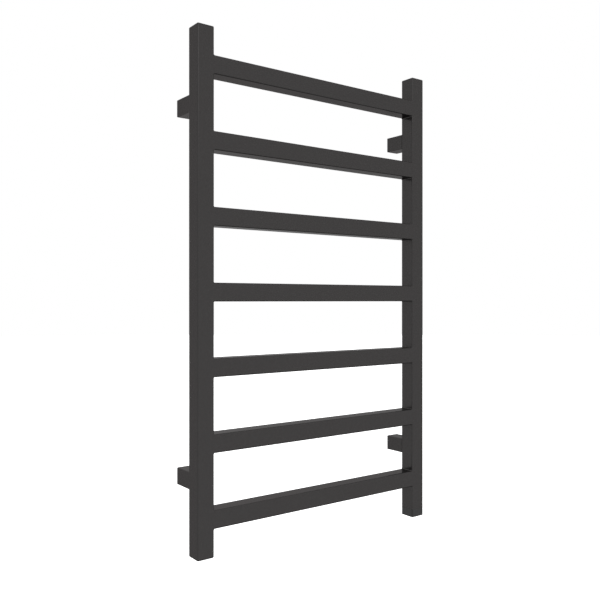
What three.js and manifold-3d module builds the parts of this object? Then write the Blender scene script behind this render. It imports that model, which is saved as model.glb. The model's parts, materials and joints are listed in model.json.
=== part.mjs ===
// Square-tube electric towel warmer rack: two uprights, seven cross bars, four stand-off wall brackets and an
// immersion heating element with a small control head at the foot of the right upright.
// Units are millimetres. +X is to the right seen from the front, -Y is the front (room side), +Z is up.
// The origin is on the wall plane (y = 0), at the centre of the rectangle of the four wall fixings.
import * as THREE from 'three';
import { mergeVertices } from 'three/addons/utils/BufferGeometryUtils.js';
import Module from 'manifold-3d';

const wasm = await Module();
wasm.setup();

// ---------------------------------------------------------------- driving dimensions
const GAP = 0.3;                 // running gap between touching pieces

const OVERALL_WIDTH = 500;       // outside to outside of the uprights
const UPRIGHT_HEIGHT = 840;      // end plates included
const TUBE = 30;                 // square tube, outside
const TUBE_WALL = 1.5;
const TUBE_RADIUS = 2.5;         // outer corner radius of the tube
const WALL_TO_FRONT = 72;        // wall plane to the front face of the tubes
const BAR_COUNT = 7;
const BAR_PITCH = 120;
const FLOW_HOLE_DIA = 18;        // opening between an upright and each bar
const END_PLATE = 1.7;           // thickness of the plate that closes an upright

const BRACKET_HALF_HEIGHT = 300; // wall fixings are at z = +300 and z = -300
const SLEEVE = 28;               // square stand-off sleeve, outside
const SLEEVE_WALL = 2.5;
const SLEEVE_RADIUS = 1.5;
const SLEEVE_FRONT = 3;          // thickness of the sleeve's front web
const FOOT = 22.4;               // square wall foot inside the sleeve
const FOOT_WALL = 2.4;
const FOOT_BASE = 3;
const FOOT_DEPTH = 20;
const WALL_SCREW_HOLE = 5.5;
const BOLT_DIA = 6;
const BOLT_HEAD_DIA = 10.5;
const BOLT_HEAD = 3.3;
const BOLT_REACH = 6.5;           // bolt length beyond the rear face of the tube
const BOSS_DIA = 12;
const BOSS_DEPTH = 9;
const GRUB_DIA = 4.4;
const GRUB_HOLE = 5;
const GRUB_Y = -10;              // distance of the grub screw in front of the wall

const HEAD_HEIGHT = 15;          // control head below the right upright
const HEAD_WALL = 1.8;
const HEAD_FLOOR = 2;
const HEAD_RADIUS = 2.5;
const HEAD_CHAMFER = 0.5;
const SPIGOT = 26.2;             // collar of the head that snaps into the tube
const SPIGOT_WALL = 1.4;
const SPIGOT_HEIGHT = 4;
const BUTTON_DIA = 11;
const BUTTON_FLANGE = 13.2;
const BUTTON_PROUD = 1;          // button face below the underside of the head
const BUTTON_TRAVEL = 1;         // inward, along +Z
const GUIDE_INNER = 11.8;
const GUIDE_OUTER = 15;
const GUIDE_FLANGE = 17;
const BOARD = 22.6;
const BOARD_THICK = 1.6;
const SWITCH = 7;
const PLUNGER_DIA = 3.5;
const GROMMET_HOLE = 8;
const CABLE_HOLE = 5.2;

const ELEMENT_ROD = 7;           // sheath diameter of the hairpin heating element
const ELEMENT_PITCH = 10.6;      // distance between its two legs
const ELEMENT_TOP = 110;         // z of the top of the hairpin
const SOCKET_HEIGHT = 18;
const SOCKET_BORE = 21;
const THREAD_DIA = 20.4;
const HEX_AF = 22;
const HEX_HEIGHT = 7;
const POCKET_DIA = 4.6;
const POCKET_LENGTH = 90;

// ---------------------------------------------------------------- derived positions
const TUBE_REAR_Y = -(WALL_TO_FRONT - TUBE);
const TUBE_MID_Y = TUBE_REAR_Y - TUBE / 2;
const UPRIGHT_X = OVERALL_WIDTH / 2 - TUBE / 2;
const TOP_Z = UPRIGHT_HEIGHT / 2;
const BAR_END_X = OVERALL_WIDTH / 2 - TUBE - GAP;
const BAR_TOP_Z = BAR_PITCH * (BAR_COUNT - 1) / 2;

// ---------------------------------------------------------------- materials
const material = (hex, roughness, metalness) =>
  new THREE.MeshStandardMaterial({ color: new THREE.Color(hex), roughness, metalness });
const coat = () => material('#3d3c3b', 0.4, 0.15);
const blackPlastic = () => material('#232323', 0.22, 0);
const zincSteel = () => material('#b9bcbd', 0.35, 0.9);
const stainless = () => material('#a9abac', 0.3, 0.95);
const brass = () => material('#c2a35a', 0.35, 0.9);
const rubber = () => material('#1d1d1d', 0.85, 0);
const board = () => material('#2c5a3b', 0.6, 0);
const opal = () => material('#e9edf0', 0.25, 0);
const silicone = () => material('#8b2f24', 0.7, 0);

// ---------------------------------------------------------------- solid helpers
function signedVolume(position, index) {
  const a = new THREE.Vector3(), b = new THREE.Vector3(), c = new THREE.Vector3();
  let volume = 0;
  for (let i = 0; i < index.length; i += 3) {
    a.fromArray(position, 3 * index[i]);
    b.fromArray(position, 3 * index[i + 1]);
    c.fromArray(position, 3 * index[i + 2]);
    volume += a.dot(b.clone().cross(c)) / 6;
  }
  return volume;
}

function solid(geometry) {
  let g = geometry.clone();
  for (const name of Object.keys(g.attributes)) if (name !== 'position') g.deleteAttribute(name);
  g = mergeVertices(g, 1e-4);
  const vertProperties = new Float32Array(g.attributes.position.array);
  const kept = [];
  for (let i = 0; i < g.index.count; i += 3) {
    const t = [g.index.getX(i), g.index.getX(i + 1), g.index.getX(i + 2)];
    if (t[0] !== t[1] && t[1] !== t[2] && t[2] !== t[0]) kept.push(...t);
  }
  if (signedVolume(vertProperties, kept) < 0)
    for (let i = 0; i < kept.length; i += 3) [kept[i + 1], kept[i + 2]] = [kept[i + 2], kept[i + 1]];
  return new wasm.Manifold(new wasm.Mesh({ numProp: 3, vertProperties, triVerts: new Uint32Array(kept) }));
}

function combine(adds, cuts = []) {
  let body = solid(adds[0]);
  for (const g of adds.slice(1)) body = body.add(solid(g));
  for (const g of cuts) body = body.subtract(solid(g));
  const mesh = body.getMesh();
  const out = new THREE.BufferGeometry();
  out.setAttribute('position', new THREE.BufferAttribute(new Float32Array(mesh.vertProperties), 3));
  out.setIndex(new THREE.BufferAttribute(new Uint32Array(mesh.triVerts), 1));
  const flat = out.toNonIndexed();
  flat.computeVertexNormals();
  return flat;
}

function squareShape(width, height, radius) {
  const s = new THREE.Shape();
  const x = width / 2, y = height / 2;
  s.moveTo(-x + radius, -y);
  s.lineTo(x - radius, -y);
  s.absarc(x - radius, -y + radius, radius, -Math.PI / 2, 0, false);
  s.lineTo(x, y - radius);
  s.absarc(x - radius, y - radius, radius, 0, Math.PI / 2, false);
  s.lineTo(-x + radius, y);
  s.absarc(-x + radius, y - radius, radius, Math.PI / 2, Math.PI, false);
  s.lineTo(-x, -y + radius);
  s.absarc(-x + radius, -y + radius, radius, Math.PI, 1.5 * Math.PI, false);
  return s;
}

// a prism along Z from z0 to z1, with an optional square bore
function prism(width, height, radius, z0, z1, wall = 0, segments = 3) {
  const s = squareShape(width, height, radius);
  if (wall > 0) s.holes.push(squareShape(width - 2 * wall, height - 2 * wall, Math.max(radius - wall, 0.6)));
  return new THREE.ExtrudeGeometry(s, { depth: z1 - z0, bevelEnabled: false, curveSegments: segments }).translate(0, 0, z0);
}

const cylZ = (dia, z0, z1, segments = 16) =>
  new THREE.CylinderGeometry(dia / 2, dia / 2, z1 - z0, segments).rotateX(Math.PI / 2).translate(0, 0, (z0 + z1) / 2);
const cylY = (dia, y0, y1, segments = 16) =>
  new THREE.CylinderGeometry(dia / 2, dia / 2, y1 - y0, segments).translate(0, (y0 + y1) / 2, 0);
const cylX = (dia, x0, x1, segments = 16) =>
  new THREE.CylinderGeometry(dia / 2, dia / 2, x1 - x0, segments).rotateZ(Math.PI / 2).translate((x0 + x1) / 2, 0, 0);
// a hexagonal prism with its flats facing +Y and -Y
const hexZ = (af, z0, z1) =>
  new THREE.CylinderGeometry(af / Math.sqrt(3), af / Math.sqrt(3), z1 - z0, 6).rotateY(Math.PI / 6).rotateX(Math.PI / 2).translate(0, 0, (z0 + z1) / 2);
const hexY = (af, y0, y1) =>
  new THREE.CylinderGeometry(af / Math.sqrt(3), af / Math.sqrt(3), y1 - y0, 6).translate(0, (y0 + y1) / 2, 0);

class HalfTurn extends THREE.Curve {
  constructor(radius) { super(); this.radius = radius; }
  getPoint(t, target = new THREE.Vector3()) {
    const a = Math.PI * (1 - t);
    return target.set(this.radius * Math.cos(a), 0, this.radius * Math.sin(a));
  }
}

const rack = new THREE.Group();
function piece(name, geometry, look, parent = rack, x = 0, y = 0, z = 0) {
  const mesh = new THREE.Mesh(geometry, look);
  mesh.name = name;
  mesh.position.set(x, y, z);
  parent.add(mesh);
  return mesh;
}

// ---------------------------------------------------------------- uprights
// Local frame of an upright: tube axis on Z, inner side (towards the bars) given by side = +1 for the left one.
const barZ = Array.from({ length: BAR_COUNT }, (_, k) => BAR_TOP_Z - k * BAR_PITCH);

function uprightTube(side, z0, z1) {
  const inner = side * TUBE / 2;
  const cuts = barZ.map((z) =>
    cylX(FLOW_HOLE_DIA, Math.min(inner - 4 * side, inner + 4 * side), Math.max(inner - 4 * side, inner + 4 * side), 16).translate(0, 0, z));
  for (const s of [1, -1])
    cuts.push(cylY(BOSS_DIA + 2 * GAP, TUBE / 2 - 4, TUBE / 2 + 4).translate(0, 0, s * BRACKET_HALF_HEIGHT));
  return combine([prism(TUBE, TUBE, TUBE_RADIUS, z0, z1, TUBE_WALL)], cuts);
}

const plateInside = END_PLATE + GAP;
piece('left_upright', uprightTube(1, -TOP_Z + plateInside, TOP_Z - plateInside), coat(), rack, -UPRIGHT_X, TUBE_MID_Y);
piece('right_upright', uprightTube(-1, -TOP_Z, TOP_Z - plateInside), coat(), rack, UPRIGHT_X, TUBE_MID_Y);

// end plates, welded on and ground flush
const endPlate = () => combine([prism(TUBE, TUBE, TUBE_RADIUS, 0, END_PLATE)]);
piece('end_plate_top_left', endPlate(), coat(), rack, -UPRIGHT_X, TUBE_MID_Y, TOP_Z - END_PLATE);
piece('end_plate_top_right', endPlate(), coat(), rack, UPRIGHT_X, TUBE_MID_Y, TOP_Z - END_PLATE);
piece('end_plate_bottom_left', endPlate(), coat(), rack, -UPRIGHT_X, TUBE_MID_Y, -TOP_Z);

// ---------------------------------------------------------------- cross bars, numbered from the top
barZ.forEach((z, k) => {
  const tube = combine([prism(TUBE, TUBE, TUBE_RADIUS, -BAR_END_X, BAR_END_X, TUBE_WALL)]).rotateY(Math.PI / 2);
  piece(`bar_${k + 1}`, tube, coat(), rack, 0, TUBE_MID_Y, z);
});

// ---------------------------------------------------------------- wall brackets
// Local frame: origin on the wall plane on the bracket axis.
const sleeveFrontY = TUBE_REAR_Y + GAP;

function squareY(size, radius, y0, y1, wall = 0, segments = 2) {
  // prism() runs along Z from -y1 to -y0; turning it about X by +90 degrees puts Z on -Y
  return prism(size, size, radius, -y1, -y0, wall, segments).rotateX(Math.PI / 2);
}

function bracketSleeve() {
  return combine(
    [squareY(SLEEVE, SLEEVE_RADIUS, sleeveFrontY, -GAP)],
    [
      squareY(SLEEVE - 2 * SLEEVE_WALL, 0.8, sleeveFrontY + SLEEVE_FRONT, 5),
      cylY(BOLT_DIA + 2 * GAP, sleeveFrontY - 2, sleeveFrontY + SLEEVE_FRONT + 2),
      cylZ(GRUB_HOLE, -SLEEVE, -SLEEVE / 2 + SLEEVE_WALL + 1, 12).translate(0, GRUB_Y, 0),
    ]);
}

function wallFoot() {
  return combine(
    [squareY(FOOT, 1, -FOOT_DEPTH, 0)],
    [
      squareY(FOOT - 2 * FOOT_WALL, 0.8, -FOOT_DEPTH - 5, -FOOT_BASE),
      cylY(WALL_SCREW_HOLE, -FOOT_BASE - 2, 2),
      new THREE.CylinderGeometry(5.2, 2.75, 2.45, 16).rotateX(Math.PI).translate(0, -FOOT_BASE + 2.45 / 2 - 0.01, 0),
      cylZ(GRUB_HOLE, -FOOT, -FOOT / 2 + 1.4, 12).translate(0, GRUB_Y, 0),
    ]);
}

const grubTop = -FOOT / 2 + 1.4 - GAP;
function grubScrew() {
  return combine(
    [cylZ(GRUB_DIA, -SLEEVE / 2 + 0.4, grubTop, 12).translate(0, GRUB_Y, 0)],
    [hexZ(2.5, -SLEEVE / 2 - 1, -SLEEVE / 2 + 2.2).translate(0, GRUB_Y, 0)]);
}

function bracketBolt() {
  const headY = sleeveFrontY + SLEEVE_FRONT + GAP;
  const tip = TUBE_REAR_Y - BOLT_REACH;
  const domed = new THREE.LatheGeometry([
    [0, 0], [BOLT_HEAD_DIA / 2, 0], [BOLT_HEAD_DIA / 2, 0.8], [4.6, 1.9], [3.6, 2.8], [2.6, BOLT_HEAD], [0, BOLT_HEAD],
  ].map(([r, y]) => new THREE.Vector2(r, y)), 16).translate(0, headY, 0);
  return combine([cylY(BOLT_DIA, tip, headY + 0.2, 12), domed], [hexY(4, headY + 1.2, headY + BOLT_HEAD + 1)]);
}

function bracketBoss() {
  // blind threaded bush through the rear wall of the tube, with a small shoulder inside it
  const inside = TUBE_REAR_Y - TUBE_WALL - GAP;
  return combine(
    [cylY(BOSS_DIA, TUBE_REAR_Y - BOSS_DEPTH, TUBE_REAR_Y), cylY(BOSS_DIA + 3, inside - 2, inside)],
    [cylY(BOLT_DIA + 2 * GAP, TUBE_REAR_Y - BOLT_REACH - 1.1, TUBE_REAR_Y + 1, 12)]);
}

for (const [place, x, z] of [
  ['top_left', -UPRIGHT_X, BRACKET_HALF_HEIGHT], ['top_right', UPRIGHT_X, BRACKET_HALF_HEIGHT],
  ['bottom_left', -UPRIGHT_X, -BRACKET_HALF_HEIGHT], ['bottom_right', UPRIGHT_X, -BRACKET_HALF_HEIGHT],
]) {
  const bracket = new THREE.Group();
  bracket.position.set(x, 0, z);
  rack.add(bracket);
  piece(`bracket_boss_${place}`, bracketBoss(), zincSteel(), bracket);
  piece(`bracket_bolt_${place}`, bracketBolt(), stainless(), bracket);
  piece(`bracket_sleeve_${place}`, bracketSleeve(), coat(), bracket);
  piece(`wall_foot_${place}`, wallFoot(), zincSteel(), bracket);
  piece(`grub_screw_${place}`, grubScrew(), stainless(), bracket);
}

// ---------------------------------------------------------------- heating element, in the foot of the right upright
const element = new THREE.Group();
element.position.set(UPRIGHT_X, TUBE_MID_Y, -TOP_Z);     // z = 0 here is the lower end of the tube
rack.add(element);

const bore = TUBE - 2 * TUBE_WALL;
const hexBottom = 6.6;
const hexTop = hexBottom + HEX_HEIGHT;
const gasketTop = hexTop + GAP + 1.5;
const socketBottom = gasketTop + GAP;
const rodBottom = 3.2;
const leg = ELEMENT_PITCH / 2;

piece('element_socket', combine(
  [prism(bore - 2 * GAP, bore - 2 * GAP, 0.8, socketBottom, socketBottom + SOCKET_HEIGHT)],
  [cylZ(SOCKET_BORE, socketBottom - 1, socketBottom + SOCKET_HEIGHT + 1, 24)]), zincSteel(), element);

piece('element_gasket', combine(
  [cylZ(24.6, hexTop + GAP, gasketTop, 24)], [cylZ(SOCKET_BORE, hexTop, gasketTop + 1, 24)]), silicone(), element);

const rodHole = ELEMENT_ROD + 2 * GAP;
piece('element_fitting', combine(
  [hexZ(HEX_AF, hexBottom, hexTop), cylZ(THREAD_DIA, hexTop - 1, socketBottom + SOCKET_HEIGHT - 2, 24)],
  [
    cylZ(rodHole, 0, 60, 12).translate(leg, 0, 0),
    cylZ(rodHole, 0, 60, 12).translate(-leg, 0, 0),
    cylZ(POCKET_DIA + 2 * GAP, 0, 60, 12).translate(0, 6, 0),
  ]), brass(), element);

const turnZ = ELEMENT_TOP + TOP_Z - leg - ELEMENT_ROD / 2;
const rodSection = new THREE.Shape().absarc(0, 0, ELEMENT_ROD / 2, 0, 2 * Math.PI, false);
piece('heating_element', combine([
  new THREE.ExtrudeGeometry(rodSection, { extrudePath: new HalfTurn(leg), steps: 10, curveSegments: 3, bevelEnabled: false }).translate(0, 0, turnZ),
  cylZ(ELEMENT_ROD, rodBottom, turnZ + 0.05, 12).translate(leg, 0, 0),
  cylZ(ELEMENT_ROD, rodBottom, turnZ + 0.05, 12).translate(-leg, 0, 0),
  cylZ(2.4, rodBottom - 2.4, rodBottom + 1, 10).translate(leg, 0, 0),
  cylZ(2.4, rodBottom - 2.4, rodBottom + 1, 10).translate(-leg, 0, 0),
]), stainless(), element);

piece('sensor_pocket', combine(
  [cylZ(POCKET_DIA, rodBottom, POCKET_LENGTH, 12)], [cylZ(3.6, rodBottom - 1, POCKET_LENGTH - 1.5, 12)]).translate(0, 6, 0), stainless(), element);
piece('temperature_sensor', combine([cylZ(3, POCKET_LENGTH - 28, POCKET_LENGTH - 2, 12)]).translate(0, 6, 0), brass(), element);

// ---------------------------------------------------------------- control head
// z = 0 of this group is the underside of the head.
const head = new THREE.Group();
head.position.set(UPRIGHT_X, TUBE_MID_Y, -TOP_Z - HEAD_HEIGHT);
rack.add(head);
const headTop = HEAD_HEIGHT - GAP;
const floorTop = HEAD_FLOOR;
const GROMMET_Z = 8.4;

// housing: rounded square cup with a softened lower edge, a collar that snaps into the tube, and a rear cable outlet
const housingOutside = new THREE.ExtrudeGeometry(squareShape(TUBE - 2 * HEAD_CHAMFER, TUBE - 2 * HEAD_CHAMFER, HEAD_RADIUS - HEAD_CHAMFER), {
  depth: headTop - 2 * HEAD_CHAMFER, bevelEnabled: true, bevelThickness: HEAD_CHAMFER, bevelSize: HEAD_CHAMFER, bevelSegments: 2, curveSegments: 3,
}).translate(0, 0, HEAD_CHAMFER);
piece('head_housing', combine(
  [housingOutside, prism(SPIGOT, SPIGOT, 1, headTop - 1.5, HEAD_HEIGHT + SPIGOT_HEIGHT)],
  [
    prism(TUBE - 2 * HEAD_WALL, TUBE - 2 * HEAD_WALL, 1, floorTop, headTop - 1.5),
    prism(SPIGOT - 2 * SPIGOT_WALL, SPIGOT - 2 * SPIGOT_WALL, 0.8, headTop - 2, HEAD_HEIGHT + SPIGOT_HEIGHT + 1),
    cylZ(GUIDE_OUTER + 2 * GAP, -1, floorTop + 1, 28),
    cylY(GROMMET_HOLE, TUBE / 2 - 4, TUBE / 2 + 2).translate(0, 0, GROMMET_Z),
  ]), blackPlastic(), head);

piece('light_guide', combine(
  [cylZ(GUIDE_OUTER, 0.15, floorTop + 0.5, 28), cylZ(GUIDE_FLANGE, floorTop + GAP, floorTop + GAP + 0.7, 28)],
  [cylZ(GUIDE_INNER, -1, floorTop + 3, 28)]), opal(), head);

const flangeZ = floorTop + GAP + 0.7 + GAP;              // underside of the button's retaining flange
piece('button_cap', combine([
  new THREE.LatheGeometry([
    [0, 0.4 - BUTTON_PROUD], [3, 0.25 - BUTTON_PROUD], [4.4, 0.05 - BUTTON_PROUD], [4.9, -BUTTON_PROUD],
    [5.3, 0.12 - BUTTON_PROUD], [BUTTON_DIA / 2, 0.45 - BUTTON_PROUD], [BUTTON_DIA / 2, flangeZ],
    [BUTTON_FLANGE / 2, flangeZ], [BUTTON_FLANGE / 2, flangeZ + 0.8], [2.2, flangeZ + 0.8], [2.2, flangeZ + 1.4], [0, flangeZ + 1.4],
  ].map(([r, y]) => new THREE.Vector2(r, y)), 28).rotateX(Math.PI / 2)]), blackPlastic(), head);

const boardZ = headTop - 3.4;                            // underside of the circuit board
const plungerBottom = flangeZ + 1.4 + GAP;
const switchBottom = flangeZ + 1.4 + BUTTON_TRAVEL + 0.2;
const plungerTop = boardZ - GAP - 0.6 - BUTTON_TRAVEL;
piece('switch_plunger', combine([cylZ(PLUNGER_DIA, plungerBottom, plungerTop, 16)]), opal(), head);
piece('switch_body', combine(
  [prism(SWITCH, SWITCH, 0.5, switchBottom, boardZ - GAP, 0, 2)],
  [cylZ(PLUNGER_DIA + 2 * GAP, switchBottom - 1, boardZ - GAP - 0.4, 16)]), blackPlastic(), head);

piece('circuit_board', combine(
  [prism(BOARD, BOARD, 1.2, boardZ, boardZ + BOARD_THICK, 0, 2)],
  [
    cylZ(3.2, boardZ - 1, boardZ + 3, 12).translate(leg, 0, 0),
    cylZ(3.2, boardZ - 1, boardZ + 3, 12).translate(-leg, 0, 0),
  ]), board(), head);

// leads from the element's cold pins down through the board
for (const [name, x] of [['element_lead_left', -leg], ['element_lead_right', leg]])
  piece(name, combine([cylZ(1.8, boardZ - 0.8, HEAD_HEIGHT + rodBottom - 2.4 - GAP, 12)]), silicone(), head, x);

// rubber grommet, flush with the rear face
piece('cable_grommet', combine(
  [
    cylY(GROMMET_HOLE - 2 * GAP, TUBE / 2 - HEAD_WALL - 1.2, TUBE / 2 - 0.05),
    cylY(GROMMET_HOLE + 1.6, TUBE / 2 - HEAD_WALL - GAP - 1, TUBE / 2 - HEAD_WALL - GAP),
  ],
  [cylY(CABLE_HOLE, TUBE / 2 - 8, TUBE / 2 + 2, 16)]).translate(0, 0, GROMMET_Z), rubber(), head);

export default rack;
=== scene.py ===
import json
import math

import bmesh
import bpy
from mathutils import Matrix, Vector


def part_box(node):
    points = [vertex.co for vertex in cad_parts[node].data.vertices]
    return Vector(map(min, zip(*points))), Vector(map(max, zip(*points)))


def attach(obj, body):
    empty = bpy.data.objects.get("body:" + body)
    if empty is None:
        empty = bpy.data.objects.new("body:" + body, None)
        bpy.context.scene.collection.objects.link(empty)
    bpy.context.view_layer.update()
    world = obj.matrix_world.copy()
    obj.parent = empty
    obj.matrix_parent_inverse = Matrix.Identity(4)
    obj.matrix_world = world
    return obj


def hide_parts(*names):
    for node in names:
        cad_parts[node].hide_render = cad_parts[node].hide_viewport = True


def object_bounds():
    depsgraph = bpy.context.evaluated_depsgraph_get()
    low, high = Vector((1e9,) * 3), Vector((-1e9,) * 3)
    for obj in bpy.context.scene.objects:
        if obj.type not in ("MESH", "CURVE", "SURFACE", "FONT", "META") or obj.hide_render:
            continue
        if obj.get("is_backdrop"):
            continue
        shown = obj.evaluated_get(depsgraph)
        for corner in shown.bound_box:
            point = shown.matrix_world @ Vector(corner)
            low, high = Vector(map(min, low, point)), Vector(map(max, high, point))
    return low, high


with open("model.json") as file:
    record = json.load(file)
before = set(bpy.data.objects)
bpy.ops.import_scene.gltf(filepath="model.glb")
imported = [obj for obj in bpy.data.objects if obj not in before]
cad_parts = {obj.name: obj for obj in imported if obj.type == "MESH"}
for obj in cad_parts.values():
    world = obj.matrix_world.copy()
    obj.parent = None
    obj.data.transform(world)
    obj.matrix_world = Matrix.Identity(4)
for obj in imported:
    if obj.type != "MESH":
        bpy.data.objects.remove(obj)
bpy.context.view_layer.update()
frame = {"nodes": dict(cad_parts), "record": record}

MM = 0.001
PLACES = ("top_left", "top_right", "bottom_left", "bottom_right")


# ------------------------------------------------------------------ sizes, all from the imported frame, in millimetres
def box_mm(node):
    lo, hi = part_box(node)
    return [v * 1000 for v in lo], [v * 1000 for v in hi]


L_LO, L_HI = box_mm("left_upright")
R_LO, R_HI = box_mm("right_upright")
TUBE = L_HI[0] - L_LO[0]
FRONT_Y, REAR_Y = L_LO[1], L_HI[1]
MID_Y = (FRONT_Y + REAR_Y) / 2
LEFT_X = (L_LO[0] + L_HI[0]) / 2
RIGHT_X = (R_LO[0] + R_HI[0]) / 2
INNER_X = R_LO[0]                       # the uprights' inner faces are at -INNER_X and +INNER_X
TOP_Z = box_mm("end_plate_top_left")[1][2]
BOTTOM_Z = box_mm("end_plate_bottom_left")[0][2]
WALL = 1.5
CORNER = 2.6                            # outer corner radius of the square tube
WELD = 1.3                              # leg of the dressed weld fillet round each bar end
SEAM = 0.07                             # softening of the edges that meet at a ground weld seam


# ------------------------------------------------------------------ mesh helpers (millimetres in, metres out)
def ring(w, h, r, seg):
    """A rounded rectangle, counter-clockwise, 4 * (seg + 1) points."""
    r = max(min(r, w / 2 - 1e-4, h / 2 - 1e-4), 1e-4)
    pts = []
    for cx, cy, a0 in ((w / 2 - r, -h / 2 + r, -90), (w / 2 - r, h / 2 - r, 0),
                       (-w / 2 + r, h / 2 - r, 90), (-w / 2 + r, -h / 2 + r, 180)):
        for i in range(seg + 1):
            a = math.radians(a0 + 90 * i / seg)
            pts.append((cx + r * math.cos(a), cy + r * math.sin(a)))
    return pts


def build(name, verts, faces):
    me = bpy.data.meshes.new(name)
    me.from_pydata([(x * MM, y * MM, z * MM) for x, y, z in verts], [], faces)
    bm = bmesh.new()
    bm.from_mesh(me)
    bmesh.ops.remove_doubles(bm, verts=bm.verts, dist=1e-7)
    bmesh.ops.recalc_face_normals(bm, faces=bm.faces)
    bm.to_mesh(me)
    bm.free()
    ob = bpy.data.objects.new(name, me)
    bpy.context.scene.collection.objects.link(ob)
    return ob


def loft(name, rings, closed=False):
    """A skin over rings of equal point counts, capped at both ends, or closed on itself."""
    n = len(rings[0])
    verts = [p for r in rings for p in r]
    faces = []
    last = len(rings) if closed else len(rings) - 1
    for k in range(last):
        a, b = k * n, ((k + 1) % len(rings)) * n
        for i in range(n):
            j = (i + 1) % n
            faces.append((a + i, a + j, b + j, b + i))
    if not closed:
        faces.append(tuple(range(n))[::-1])
        faces.append(tuple(range((len(rings) - 1) * n, len(rings) * n)))
    return build(name, verts, faces)


def lathe(name, profile, seg=64, closed=False):
    """Turns (radius, height) points about Z. Open profiles start and end on the axis."""
    verts, faces, rows = [], [], []
    for r, z in profile:
        if r < 1e-6:
            rows.append([len(verts)])
            verts.append((0.0, 0.0, z))
        else:
            rows.append(list(range(len(verts), len(verts) + seg)))
            verts += [(r * math.cos(2 * math.pi * i / seg), r * math.sin(2 * math.pi * i / seg), z) for i in range(seg)]
    pairs = list(zip(rows, rows[1:])) + ([(rows[-1], rows[0])] if closed else [])
    for a, b in pairs:
        for i in range(seg):
            j = (i + 1) % seg
            if len(a) == 1 and len(b) == 1:
                continue
            if len(a) == 1:
                faces.append((a[0], b[j], b[i]))
            elif len(b) == 1:
                faces.append((a[i], a[j], b[0]))
            else:
                faces.append((a[i], a[j], b[j], b[i]))
    return build(name, verts, faces)


def place(ob, matrix):
    """Moves the mesh itself, so that the object stays at the origin."""
    ob.data.transform(matrix)
    ob.data.update()
    return ob


def at(x, y, z):
    return Matrix.Translation((x * MM, y * MM, z * MM))


def turn(axis, degrees):
    return Matrix.Rotation(math.radians(degrees), 4, axis)


def cut(ob, tools, operation="DIFFERENCE"):
    """Cuts the tools out of ob (or joins them to it) and removes them."""
    for tool in tools:
        mod = ob.modifiers.new("cut", "BOOLEAN")
        mod.operation, mod.solver, mod.object = operation, "EXACT", tool
        dg = bpy.context.evaluated_depsgraph_get()
        me = bpy.data.meshes.new_from_object(ob.evaluated_get(dg))
        ob.modifiers.clear()
        ob.data = me
        bpy.data.objects.remove(tool, do_unlink=True)
    bm = bmesh.new()
    bm.from_mesh(ob.data)
    bmesh.ops.remove_doubles(bm, verts=bm.verts, dist=2e-7)
    bmesh.ops.dissolve_degenerate(bm, edges=bm.edges, dist=2e-7)
    bm.to_mesh(ob.data)
    bm.free()
    return ob


def smooth(ob, angle=32.0):
    """Smooth shading with sharp edges kept, and normals weighted by face area so that flats stay flat."""
    bm = bmesh.new()
    bm.from_mesh(ob.data)
    for f in bm.faces:
        f.smooth = True
    for e in bm.edges:
        e.smooth = not (len(e.link_faces) == 2 and e.calc_face_angle(0.0) > math.radians(angle))
    bm.to_mesh(ob.data)
    bm.free()
    mod = ob.modifiers.new("flats", "WEIGHTED_NORMAL")
    mod.mode, mod.weight, mod.keep_sharp = "FACE_AREA", 100, True
    return ob


def dress(ob, body, material, nodes=()):
    ob.data.materials.clear()
    ob.data.materials.append(material)
    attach(ob, body)
    if nodes:
        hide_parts(*nodes)
    return ob


# ------------------------------------------------------------------ materials
def new_material(name):
    mat = bpy.data.materials.new(name)
    mat.use_nodes = True
    tree = mat.node_tree
    tree.nodes.clear()
    out = tree.nodes.new("ShaderNodeOutputMaterial")
    bsdf = tree.nodes.new("ShaderNodeBsdfPrincipled")
    tree.links.new(bsdf.outputs["BSDF"], out.inputs["Surface"])
    coord = tree.nodes.new("ShaderNodeTexCoord")
    return mat, tree, bsdf, coord.outputs["Object"]


def noise(tree, coord, scale, detail=3.0, rough=0.5, stretch=None):
    if stretch:
        m = tree.nodes.new("ShaderNodeMapping")
        m.inputs["Scale"].default_value = stretch
        tree.links.new(coord, m.inputs["Vector"])
        coord = m.outputs["Vector"]
    n = tree.nodes.new("ShaderNodeTexNoise")
    n.inputs["Scale"].default_value = scale
    n.inputs["Detail"].default_value = detail
    n.inputs["Roughness"].default_value = rough
    tree.links.new(coord, n.inputs["Vector"])
    return n.outputs["Fac"]


def voronoi(tree, coord, scale, feature="F1"):
    n = tree.nodes.new("ShaderNodeTexVoronoi")
    n.feature = feature
    n.inputs["Scale"].default_value = scale
    tree.links.new(coord, n.inputs["Vector"])
    return n.outputs["Distance"]


def ramp(tree, fac, low, high, a, b):
    """fac mapped from low..high to the range a..b."""
    m = tree.nodes.new("ShaderNodeMapRange")
    m.inputs["From Min"].default_value, m.inputs["From Max"].default_value = low, high
    m.inputs["To Min"].default_value, m.inputs["To Max"].default_value = a, b
    tree.links.new(fac, m.inputs["Value"])
    return m.outputs["Result"]


def blend(tree, fac, a, b):
    m = tree.nodes.new("ShaderNodeMix")
    m.data_type = "RGBA"
    m.inputs["A"].default_value = (*a, 1)
    m.inputs["B"].default_value = (*b, 1)
    tree.links.new(fac, m.inputs["Factor"])
    return m.outputs["Result"]


def add(tree, a, b, scale=1.0):
    m = tree.nodes.new("ShaderNodeMath")
    m.operation = "MULTIPLY_ADD"
    tree.links.new(b, m.inputs[0])
    m.inputs[1].default_value = scale
    tree.links.new(a, m.inputs[2])
    return m.outputs["Value"]


def bump(tree, bsdf, height, distance, strength=1.0):
    b = tree.nodes.new("ShaderNodeBump")
    b.inputs["Strength"].default_value = strength
    b.inputs["Distance"].default_value = distance
    tree.links.new(height, b.inputs["Height"])
    tree.links.new(b.outputs["Normal"], bsdf.inputs["Normal"])


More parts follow.
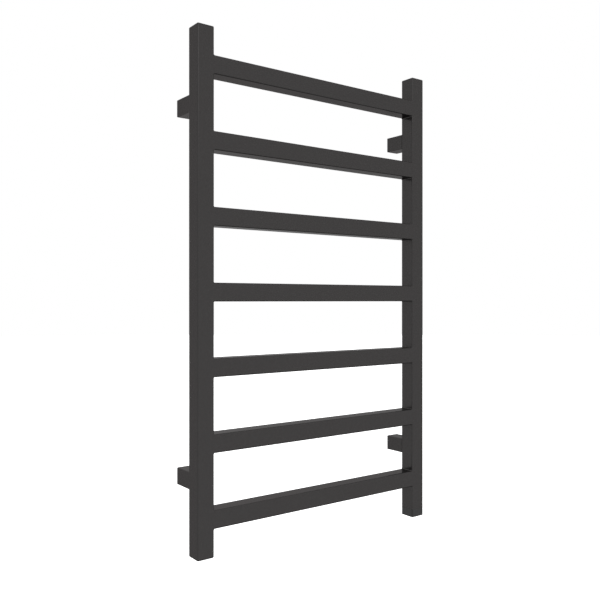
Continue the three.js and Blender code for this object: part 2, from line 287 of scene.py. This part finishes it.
def flakes(tree, coord, scale):
    """A random value for each small cell, 0 to 1."""
    n = tree.nodes.new("ShaderNodeTexVoronoi")
    n.inputs["Scale"].default_value = scale
    tree.links.new(coord, n.inputs["Vector"])
    split = tree.nodes.new("ShaderNodeSeparateColor")
    tree.links.new(n.outputs["Color"], split.inputs["Color"])
    return split.outputs["Red"]


def lighter(tree, color, fac, other):
    m = tree.nodes.new("ShaderNodeMix")
    m.data_type = "RGBA"
    tree.links.new(color, m.inputs["A"])
    m.inputs["B"].default_value = (*other, 1)
    tree.links.new(fac, m.inputs["Factor"])
    return m.outputs["Result"]


def powder_coat():
    """Anthracite metallic powder coat: fine grain with a few bright flakes, orange peel, slightly uneven gloss."""
    mat, tree, bsdf, co = new_material("anthracite_powder_coat")
    grain = noise(tree, co, 2600, 2.0, 0.6)
    peel = noise(tree, co, 460, 1.0, 0.4)
    drift = noise(tree, co, 14, 3.0, 0.5)
    spark = ramp(tree, flakes(tree, co, 5200), 0.86, 1.0, 0, 1)
    bsdf.inputs["Metallic"].default_value = 0.8
    bsdf.inputs["Specular IOR Level"].default_value = 0.0
    bsdf.inputs["Specular Tint"].default_value = (0.55, 0.54, 0.54, 1)
    body = blend(tree, ramp(tree, grain, 0.3, 0.7, 0, 1), (0.0440, 0.0418, 0.0416), (0.0600, 0.0572, 0.0568))
    tree.links.new(lighter(tree, body, spark, (0.105, 0.102, 0.101)), bsdf.inputs["Base Color"])
    tree.links.new(ramp(tree, drift, 0.3, 0.7, 0.17, 0.22), bsdf.inputs["Roughness"])
    bump(tree, bsdf, add(tree, grain, peel, 3.2), 0.000012)
    return mat


def head_plastic():
    """Satin black moulded plastic with a faint uneven surface from the mould."""
    mat, tree, bsdf, co = new_material("head_black_plastic")
    fine = noise(tree, co, 900, 2.0, 0.5)
    drift = noise(tree, co, 60, 2.0, 0.5)
    bsdf.inputs["IOR"].default_value = 1.5
    tree.links.new(blend(tree, ramp(tree, drift, 0.3, 0.7, 0, 1), (0.0030, 0.0030, 0.0031), (0.0045, 0.0044, 0.0044)),
                   bsdf.inputs["Base Color"])
    tree.links.new(ramp(tree, fine, 0.3, 0.7, 0.40, 0.48), bsdf.inputs["Roughness"])
    bump(tree, bsdf, fine, 0.0000015)
    return mat


def satin_plastic(name, dark, light, rough=(0.42, 0.52)):
    mat, tree, bsdf, co = new_material(name)
    spark = noise(tree, co, 2400, 2.0, 0.6)
    tree.links.new(blend(tree, spark, dark, light), bsdf.inputs["Base Color"])
    tree.links.new(ramp(tree, noise(tree, co, 300), 0.3, 0.7, *rough), bsdf.inputs["Roughness"])
    bump(tree, bsdf, spark, 0.000006)
    return mat


def plated_steel(name, dark, light, rough, stretch, scale):
    """Metal with drawn or turned streaks along the stretch's short direction."""
    mat, tree, bsdf, co = new_material(name)
    streak = noise(tree, co, scale, 3.0, 0.6, stretch)
    cloud = noise(tree, co, 180, 2.0, 0.5)
    bsdf.inputs["Metallic"].default_value = 1.0
    tree.links.new(blend(tree, add(tree, streak, cloud, 0.4), dark, light), bsdf.inputs["Base Color"])
    tree.links.new(ramp(tree, add(tree, cloud, streak, 0.5), 0.4, 1.1, *rough), bsdf.inputs["Roughness"])
    bump(tree, bsdf, streak, 0.000004)
    return mat


def rubber_material(name, dark, light):
    mat, tree, bsdf, co = new_material(name)
    fine = noise(tree, co, 1800, 3.0, 0.6)
    bsdf.inputs["Specular IOR Level"].default_value = 0.35
    tree.links.new(blend(tree, fine, dark, light), bsdf.inputs["Base Color"])
    tree.links.new(ramp(tree, noise(tree, co, 240), 0.3, 0.7, 0.68, 0.85), bsdf.inputs["Roughness"])
    bump(tree, bsdf, fine, 0.00001)
    return mat


def opal_plastic():
    mat, tree, bsdf, co = new_material("opal_light_guide")
    fine = noise(tree, co, 700, 2.0, 0.5)
    bsdf.inputs["Subsurface Weight"].default_value = 0.35
    bsdf.inputs["Subsurface Radius"].default_value = (0.002, 0.002, 0.0018)
    bsdf.inputs["Transmission Weight"].default_value = 0.15
    tree.links.new(blend(tree, fine, (0.78, 0.80, 0.82), (0.86, 0.88, 0.89)), bsdf.inputs["Base Color"])
    tree.links.new(ramp(tree, fine, 0.3, 0.7, 0.2, 0.32), bsdf.inputs["Roughness"])
    bump(tree, bsdf, fine, 0.000004)
    return mat


def board_material():
    mat, tree, bsdf, co = new_material("circuit_board_green")
    tracks = voronoi(tree, co, 420, "DISTANCE_TO_EDGE")
    weave = noise(tree, co, 1600, 2.0, 0.5)
    tree.links.new(blend(tree, ramp(tree, tracks, 0.02, 0.06, 0, 1), (0.035, 0.14, 0.06), (0.012, 0.07, 0.03)),
                   bsdf.inputs["Base Color"])
    tree.links.new(ramp(tree, weave, 0.3, 0.7, 0.28, 0.42), bsdf.inputs["Roughness"])
    bump(tree, bsdf, ramp(tree, tracks, 0.02, 0.06, 1, 0), 0.00002)
    return mat


COAT = powder_coat()
HEAD = head_plastic()
BUTTON = satin_plastic("button_black_plastic", (0.006, 0.006, 0.006), (0.011, 0.011, 0.011), (0.3, 0.4))
BLACK = satin_plastic("switch_black_plastic", (0.008, 0.008, 0.008), (0.02, 0.02, 0.02), (0.5, 0.62))
OPAL = opal_plastic()
ZINC = plated_steel("zinc_plated_steel", (0.52, 0.54, 0.56), (0.68, 0.69, 0.70), (0.26, 0.42), (1, 1, 0.08), 1500)
STAINLESS = plated_steel("stainless_steel", (0.46, 0.46, 0.47), (0.62, 0.62, 0.63), (0.2, 0.34), (1, 1, 0.05), 1800)
BRASS = plated_steel("turned_brass", (0.56, 0.40, 0.15), (0.72, 0.54, 0.24), (0.22, 0.36), (0.08, 0.08, 1), 2200)
RUBBER = rubber_material("black_rubber", (0.010, 0.010, 0.010), (0.020, 0.020, 0.020))
SILICONE = rubber_material("red_silicone", (0.20, 0.022, 0.014), (0.28, 0.036, 0.022))
BOARD = board_material()
BY_SLOT = {
    "coat": COAT, "head_plastic": HEAD, "button_plastic": BUTTON, "black_plastic": BLACK, "opal_plastic": OPAL,
    "zinc_steel": ZINC, "stainless": STAINLESS, "brass": BRASS, "silicone": SILICONE, "rubber": RUBBER, "board": BOARD,
}

# every CAD node gets its finish, including the ones that stay hidden inside the tubes
for part in frame["record"]["subparts"]:
    node = frame["nodes"][part["node"]]
    node.data.materials.clear()
    node.data.materials.append(BY_SLOT[part["material_slot"]])


# ------------------------------------------------------------------ uprights
def upright(name, node, x, z0, z1, seams, side):
    """A hollow square tube with rounded corners. seams says which ends meet a welded plate."""
    seg = 10
    def level(z, inset, w=TUBE, r=CORNER):
        return [(x + u, MID_Y + v, z) for u, v in ring(w - 2 * inset, w - 2 * inset, r - inset, seg)]
    soft0 = SEAM if seams[0] else 0.12
    soft1 = SEAM if seams[1] else 0.12
    inner = TUBE - 2 * WALL
    outer = [level(z0, soft0), level(z0 + soft0 * 0.3, soft0 * 0.3), level(z0 + soft0, 0),
             level(z1 - soft1, 0), level(z1 - soft1 * 0.3, soft1 * 0.3), level(z1, soft1)]
    core = [level(z1, 0, inner, CORNER - WALL), level(z0, 0, inner, CORNER - WALL)]
    ob = loft(name, outer + core, closed=True)
    tools = []
    for k in range(1, 8):
        lo, hi = box_mm(f"bar_{k}")
        t = lathe("t", [(0, -3), (9, -3), (9, 3), (0, 3)], 32)
        tools.append(place(t, at(x + side * TUBE / 2, MID_Y, (lo[2] + hi[2]) / 2) @ turn("Y", 90)))
    for p in PLACES:
        lo, hi = box_mm(f"bracket_boss_{p}")
        if lo[0] < x < hi[0]:
            t = lathe("t", [(0, -3), (6.05, -3), (6.05, 3), (0, 3)], 32)
            tools.append(place(t, at(x, REAR_Y, (lo[2] + hi[2]) / 2) @ turn("X", 90)))
    cut(ob, tools)
    return dress(smooth(ob), "rack", COAT, [node])


PLATE_LO = box_mm("end_plate_top_left")[0][2] - 0.05
upright("left_upright_skin", "left_upright", LEFT_X, -PLATE_LO, PLATE_LO, (True, True), +1)
upright("right_upright_skin", "right_upright", RIGHT_X, R_LO[2], PLATE_LO, (False, True), -1)


def end_plate(name, node, x, z_in, z_out):
    """A plate welded over the end of a tube and ground flush, its outer edge rounded over."""
    up = 1 if z_out > z_in else -1
    over, seg, steps = 2.0, 10, 7
    rings = []
    def level(z, inset):
        return [(x + u, MID_Y + v, z) for u, v in ring(TUBE - 2 * inset, TUBE - 2 * inset, CORNER - inset, seg)]
    rings.append(level(z_in, SEAM))
    rings.append(level(z_in + up * SEAM * 0.3, SEAM * 0.3))
    rings.append(level(z_in + up * SEAM, 0))
    for i in range(steps + 1):
        a = math.pi / 2 * i / steps
        rings.append(level(z_out - up * over * (1 - math.sin(a)), over * (1 - math.cos(a))))
    return dress(smooth(loft(name, rings)), "rack", COAT, [node])


end_plate("end_plate_top_left_skin", "end_plate_top_left", LEFT_X, PLATE_LO, TOP_Z)
end_plate("end_plate_top_right_skin", "end_plate_top_right", RIGHT_X, PLATE_LO, TOP_Z)
end_plate("end_plate_bottom_left_skin", "end_plate_bottom_left", LEFT_X, -PLATE_LO, BOTTOM_Z)


# ------------------------------------------------------------------ cross bars
def scribe(y):
    """How far past the upright's inner face a point at depth y lies on the upright's rounded corner."""
    d = abs(y - MID_Y) - (TUBE / 2 - CORNER)
    return 0.0 if d <= 0 else CORNER - math.sqrt(max(CORNER * CORNER - d * d, 0.0))


def bar(name, node):
    """A hollow bar whose ends follow the uprights' corners, with the dressed weld flaring onto the upright above and below."""
    lo, hi = box_mm(node)
    zc, seg, steps = (lo[2] + hi[2]) / 2, 10, 6
    def level(x, grow, w=TUBE, r=CORNER, end=0):
        out = []
        for u, v in ring(w, w + 2 * grow, r, seg):
            xx = x + (end * scribe(MID_Y + u) if end else 0)
            out.append((xx, MID_Y + u, zc + v))
        return out
    outer = []
    for s in (-1, 1):
        part = []
        for i in range(steps + 1):
            a = math.pi / 2 * i / steps
            x = s * (INNER_X - WELD + WELD * math.sin(a))
            part.append(level(x, WELD * (1 - math.cos(a)), end=s if i == steps else 0))
        outer += part[::-1] if s < 0 else part
    inner = TUBE - 2 * WALL
    core = [level(INNER_X, 0, inner, CORNER - WALL, 1), level(-INNER_X, 0, inner, CORNER - WALL, -1)]
    ob = loft(name, outer + core, closed=True)
    return dress(smooth(ob), "rack", COAT, [node])


for k in range(1, 8):
    bar(f"bar_{k}_skin", f"bar_{k}")


# ------------------------------------------------------------------ wall brackets
def prism_y(name, cx, cz, size, r, rows, seg=8):
    """rows of (y, inset) along Y."""
    rings = [[(cx + u, y, cz + v) for u, v in ring(size - 2 * i, size - 2 * i, r - i, seg)] for y, i in rows]
    return loft(name, rings)


def rod_z(dia, z0, z1, seg=40):
    return lathe("t", [(0, z0), (dia / 2, z0), (dia / 2, z1), (0, z1)], seg)


def rod_y(dia, y0, y1, seg=40):
    return place(rod_z(dia, y0, y1, seg), turn("X", -90))


def soft_rows(y0, y1, r0, r1, steps=4):
    """Rows for prism_y with its two ends rounded by r0 and r1."""
    turned = [math.pi / 2 * i / steps for i in range(steps + 1)]
    rows = [(y0 + r0 * (1 - math.sin(a)), r0 * (1 - math.cos(a))) for a in reversed(turned)]
    rows += [(y1 - r1 * (1 - math.sin(a)), r1 * (1 - math.cos(a))) for a in turned]
    return rows


for p in PLACES:
    lo, hi = box_mm(f"bracket_sleeve_{p}")
    cx, cz, size = (lo[0] + hi[0]) / 2, (lo[2] + hi[2]) / 2, hi[0] - lo[0]
    g_lo, g_hi = box_mm(f"grub_screw_{p}")
    gy = (g_lo[1] + g_hi[1]) / 2
    f_lo, f_hi = box_mm(f"wall_foot_{p}")

    # die-cast sleeve, open to the wall, with the lock screw's hole underneath
    front, rear = lo[1] - 0.2, hi[1]
    ob = prism_y(f"bracket_sleeve_{p}_skin", cx, cz, size, 1.6, soft_rows(front, rear, 0.12, 0.5))
    hole = place(rod_z(5.0, lo[2] - 2, lo[2] + 4), at(cx, gy, 0))
    sink = place(lathe("t", [(0, -0.4), (2.9, -0.4), (2.9, 0), (2.5, 0.35), (0, 0.35)], 40), at(cx, gy, lo[2]))
    cut(ob, [prism_y("t", cx, cz, size - 5.0, 0.8, [(lo[1] + 3.0, 0), (hi[1] + 2, 0)]),
             place(rod_y(6.6, lo[1] - 2, lo[1] + 5), at(cx, 0, cz)), hole, sink])
    dress(smooth(ob), "rack", COAT, [f"bracket_sleeve_{p}"])

    # zinc-plated foot with its countersunk screw hole
    fsize = f_hi[0] - f_lo[0]
    ob = prism_y(f"wall_foot_{p}_skin", cx, cz, fsize, 1.0, soft_rows(f_lo[1], f_hi[1], 0.3, 0.3, 3))
    cone = place(lathe("t", [(0, -2.6), (2.75, -2.6), (2.75, 0), (5.2, 2.45), (5.2, 4.0), (0, 4.0)], 48),
                 at(cx, -0.55, cz) @ turn("X", 90))
    cut(ob, [prism_y("t", cx, cz, fsize - 4.8, 0.9, [(f_lo[1] - 2, 0), (-3.0, 0)]), cone,
             place(rod_z(5.0, f_lo[2] - 2, f_lo[2] + 1.4), at(cx, gy, 0))])
    dress(smooth(ob), "rack", ZINC, [f"wall_foot_{p}"])

    # cup-point grub screw with a hexagon socket
    r = (g_hi[0] - g_lo[0]) / 2
    z0, z1 = g_lo[2], g_hi[2]
    prof = [(0, z0), (r - 0.35, z0), (r, z0 + 0.35), (r, z1 - 0.5), (r - 0.5, z1), (0, z1)]
    ob = place(lathe(f"grub_screw_{p}_skin", prof, 40), at(cx, gy, 0))
    hexa = place(lathe("t", [(0, z0 - 1), (1.45, z0 - 1), (1.45, z0 + 1.9), (0, z0 + 2.4)], 6), at(cx, gy, 0))
    mouth = place(lathe("t", [(0, z0 - 0.2), (1.75, z0 - 0.2), (1.25, z0 + 0.3), (0, z0 + 0.3)], 40), at(cx, gy, 0))
    cut(ob, [hexa, mouth])
    dress(smooth(ob), "rack", STAINLESS, [f"grub_screw_{p}"])


# ------------------------------------------------------------------ control head
H_LO, H_HI = box_mm("head_housing")
HEAD_TOP = R_LO[2] - 0.06                # the head butts against the tube
HEAD_Z = H_LO[2]
steps, seg = 6, 10
rows = []
edge, lip = 0.9, 0.12
for i in range(steps, -1, -1):
    a = math.pi / 2 * i / steps
    rows.append((HEAD_Z + edge * (1 - math.sin(a)), edge * (1 - math.cos(a))))
rows = rows if rows[0][0] < rows[-1][0] else rows
rows += [(HEAD_TOP - lip, 0), (HEAD_TOP - lip * 0.3, lip * 0.3), (HEAD_TOP, lip)]


def level_xy(z, w, r):
    return [(RIGHT_X + u, MID_Y + v, z) for u, v in ring(w, w, r, seg)]


def prism_z(name, w, r, z0, z1):
    return loft(name, [level_xy(z0, w, r), level_xy(z1, w, r)])


housing = loft("head_housing_skin", [level_xy(z, TUBE - 2 * i, 2.6 - i) for z, i in rows])
GR_LO, GR_HI = box_mm("cable_grommet")
GROMMET_Z = (GR_LO[2] + GR_HI[2]) / 2
cut(housing, [prism_z("t", 26.2, 1.0, HEAD_TOP - 1.0, H_HI[2])], "UNION")
cut(housing, [
    prism_z("t", TUBE - 3.6, 1.0, HEAD_Z + 2.0, HEAD_TOP - 1.5),
    prism_z("t", 23.4, 0.8, HEAD_TOP - 2.2, H_HI[2] + 2),
    place(lathe("t", [(0, -2), (8.4, -2), (8.4, 0.0), (7.8, 0.45), (7.8, 4), (0, 4)], 72), at(RIGHT_X, MID_Y, HEAD_Z)),
    place(rod_y(8.0, -3, 3, 48), at(RIGHT_X, REAR_Y, GROMMET_Z)),
    place(lathe("t", [(0, -0.6), (4.6, -0.6), (4.0, 0.3), (0, 0.3)], 48), at(RIGHT_X, REAR_Y, GROMMET_Z) @ turn("X", 90)),
])
dress(smooth(housing), "rack", HEAD, ["head_housing"])

guide_prof = [(5.9, 0.35), (6.05, 0.18), (6.3, 0.12), (7.2, 0.12), (7.42, 0.2), (7.5, 0.4), (7.5, 2.3), (8.5, 2.3),
              (8.5, 3.0), (5.9, 3.0)]
guide = place(lathe("light_guide_skin", guide_prof, 96, closed=True), at(RIGHT_X, MID_Y, HEAD_Z))
dress(smooth(guide), "rack", OPAL, ["light_guide"])

B_LO, B_HI = box_mm("button_cap")
z0, z1 = B_LO[2] - HEAD_Z, B_HI[2] - HEAD_Z
rim = 0.45
prof = [(0, z0 + 0.42), (1.2, z0 + 0.41), (2.4, z0 + 0.34), (3.4, z0 + 0.22), (4.2, z0 + 0.09), (4.6, z0 + 0.02), (4.85, z0)]
prof += [(5.5 - rim * (1 - math.sin(math.pi / 2 * i / 6)), z0 + rim * (1 - math.cos(math.pi / 2 * i / 6))) for i in range(7)]
prof += [(5.5, 3.3), (6.6, 3.3), (6.6, 4.1), (2.2, 4.1), (2.2, z1), (0, z1)]
cap = lathe("button_cap_skin", prof, 96)


def band(points, z0, z1):
    return loft("t", [[(u, v, z) for u, v in points] for z in (z0, z1)])


# a plain standby mark engraved in the dish: an open ring and a bar, its opening towards the front
swing = [math.radians(-90 + 32 + (360 - 64) * i / 40) for i in range(41)]
arc = [(1.95 * math.cos(a), 1.95 * math.sin(a)) for a in swing]
arc += [(1.55 * math.cos(a), 1.55 * math.sin(a)) for a in reversed(swing)]
stroke = [(0.2, -2.25), (0.2, -0.75), (-0.2, -0.75), (-0.2, -2.25)]
cut(cap, [band(arc, z0 - 1, z0 + 0.52), band(stroke, z0 - 1, z0 + 0.52)])
place(cap, at(RIGHT_X, MID_Y, HEAD_Z))
dress(smooth(cap), "push_button", BUTTON, ["button_cap"])

grommet_prof = [(2.6, 0.0), (2.75, 0.16), (3.3, 0.24), (3.6, 0.16), (3.7, -0.02), (3.7, -1.75), (4.75, -1.9), (4.8, -2.15),
                (4.7, -3.0), (2.6, -3.0)]
grommet = lathe("cable_grommet_skin", [(r, z - 0.3) for r, z in grommet_prof], 64, closed=True)
place(grommet, at(RIGHT_X, REAR_Y, GROMMET_Z) @ turn("X", -90))
dress(smooth(grommet), "rack", RUBBER, ["cable_grommet"])


# ------------------------------------------------------------------ camera
CAM = (-0.79364, -1.07066, -0.01255)
HEADING = 53.390                         # degrees of the level view direction from +X towards +Y
cam_data = bpy.data.cameras.new("camera")
cam_data.sensor_width = 36.0
cam_data.lens = 36.0 * 724.264 / 600.0
cam_data.clip_start, cam_data.clip_end = 0.01, 200.0
cam = bpy.data.objects.new("camera", cam_data)
cam.location = CAM
cam.rotation_euler = (math.radians(90), 0, math.radians(HEADING - 90))
bpy.context.scene.collection.objects.link(cam)
bpy.context.scene.camera = cam


# ------------------------------------------------------------------ studio light levels
AROUND = [(-1.0, 1.0), (-0.7, 0.995), (0.0, 0.9), (0.7, 0.805), (1.0, 1.27)]   # by +Y
BELOW, ABOVE = 0.45, 1.05
LOBES = [((-0.28, -0.77, 0.57), 10, 28, 0.95), ((-0.79, -0.55, -0.3), 15, 55, -0.14), ((0.60, 0.80, 0.0), 9, 16, -0.52),
         ((0.1, 0.68, 0.73), 8, 36, 0.5)]          # (towards, inner and outer angle, strength)


# ------------------------------------------------------------------ floor, backdrop and studio light
def stage_material(name, color, glow):
    mat, tree, bsdf, co = new_material(name)
    bsdf.inputs["Base Color"].default_value = (*color, 1)
    bsdf.inputs["Roughness"].default_value = 0.9
    bsdf.inputs["Specular IOR Level"].default_value = 0.0
    bsdf.inputs["Emission Color"].default_value = (1, 1, 1, 1)
    bsdf.inputs["Emission Strength"].default_value = glow
    return mat


floor_mesh = bpy.data.meshes.new("floor")
F, FLOOR_Z = 32.0, -1.5
floor_mesh.from_pydata([(-F, -F, FLOOR_Z), (F, -F, FLOOR_Z), (F, F, FLOOR_Z), (-F, F, FLOOR_Z)], [], [(0, 1, 2, 3)])
floor = bpy.data.objects.new("floor", floor_mesh)
bpy.context.scene.collection.objects.link(floor)
floor.data.materials.append(stage_material("floor_pale", (0.85, 0.85, 0.85), 0.72))
floor.visible_glossy = False
floor.visible_diffuse = False
floor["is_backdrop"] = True

# a white sweep all round, seen by the camera only
bm = bmesh.new()
bmesh.ops.create_uvsphere(bm, u_segments=64, v_segments=32, radius=30.0)
sweep_mesh = bpy.data.meshes.new("sweep")
bm.to_mesh(sweep_mesh)
bm.free()
sweep = bpy.data.objects.new("sweep", sweep_mesh)
bpy.context.scene.collection.objects.link(sweep)
sweep.data.materials.append(stage_material("sweep_white", (0.0, 0.0, 0.0), 1.0))
for ray in ("visible_diffuse", "visible_glossy", "visible_transmission", "visible_volume_scatter", "visible_shadow"):
    setattr(sweep, ray, False)
sweep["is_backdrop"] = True

# the light itself: a soft studio dome, brightest in front and above left, falling off behind the wall side
world = bpy.data.worlds.new("studio")
bpy.context.scene.world = world
world.use_nodes = True
wt = world.node_tree
bg = wt.nodes["Background"]
direction = wt.nodes.new("ShaderNodeTexCoord").outputs["Generated"]
axes = wt.nodes.new("ShaderNodeSeparateXYZ")
wt.links.new(direction, axes.inputs["Vector"])


def world_ramp(value, lo, hi, stops):
    m = wt.nodes.new("ShaderNodeMapRange")
    m.inputs["From Min"].default_value, m.inputs["From Max"].default_value = lo, hi
    wt.links.new(value, m.inputs["Value"])
    r = wt.nodes.new("ShaderNodeValToRGB")
    r.color_ramp.interpolation = "B_SPLINE" if len(stops) > 4 else "EASE"
    while len(r.color_ramp.elements) < len(stops):
        r.color_ramp.elements.new(0.5)
    for e, (x, v) in zip(r.color_ramp.elements, stops):
        e.position, e.color = (x - lo) / (hi - lo), (v, v, v, 1)
    wt.links.new(m.outputs["Result"], r.inputs["Fac"])
    return r.outputs["Color"]


def world_math(op, a, b):
    m = wt.nodes.new("ShaderNodeMath")
    m.operation = op
    for i, v in enumerate((a, b)):
        if isinstance(v, (int, float)):
            m.inputs[i].default_value = v
        else:
            wt.links.new(v, m.inputs[i])
    return m.outputs["Value"]


def world_mix(fac, a, b):
    """a where fac is 0, b where it is 1."""
    return world_math("ADD", world_math("MULTIPLY", a, world_math("SUBTRACT", 1.0, fac)), world_math("MULTIPLY", b, fac))


def lobe(toward, inner, outer, strength):
    """A soft round patch of light in one direction, angles in degrees."""
    d = wt.nodes.new("ShaderNodeVectorMath")
    d.operation = "DOT_PRODUCT"
    wt.links.new(direction, d.inputs[0])
    d.inputs[1].default_value = Vector(toward).normalized()
    patch = world_ramp(d.outputs["Value"], math.cos(math.radians(outer)), math.cos(math.radians(inner)),
                       [(math.cos(math.radians(outer)), 0.0), (math.cos(math.radians(inner)), 1.0)])
    return world_math("MULTIPLY", patch, strength)


around = world_ramp(axes.outputs["Y"], -1.0, 1.0, AROUND)
below = world_ramp(axes.outputs["Z"], -0.8, -0.45, [(-0.8, 1.0), (-0.45, 0.0)])
above = world_ramp(axes.outputs["Z"], 0.5, 0.85, [(0.5, 0.0), (0.85, 1.0)])
level_light = world_mix(above, world_mix(below, around, BELOW), ABOVE)
for toward, inner, outer, strength in LOBES:
    level_light = world_math("ADD", level_light, lobe(toward, inner, outer, strength))
wt.links.new(level_light, bg.inputs["Strength"])
bg.inputs["Color"].default_value = (1, 1, 1, 1)

scene = bpy.context.scene
scene.view_settings.view_transform = "Standard"
scene.view_settings.look = "None"
scene.view_settings.exposure = 0.0
scene.view_settings.gamma = 1.0

lo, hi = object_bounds()
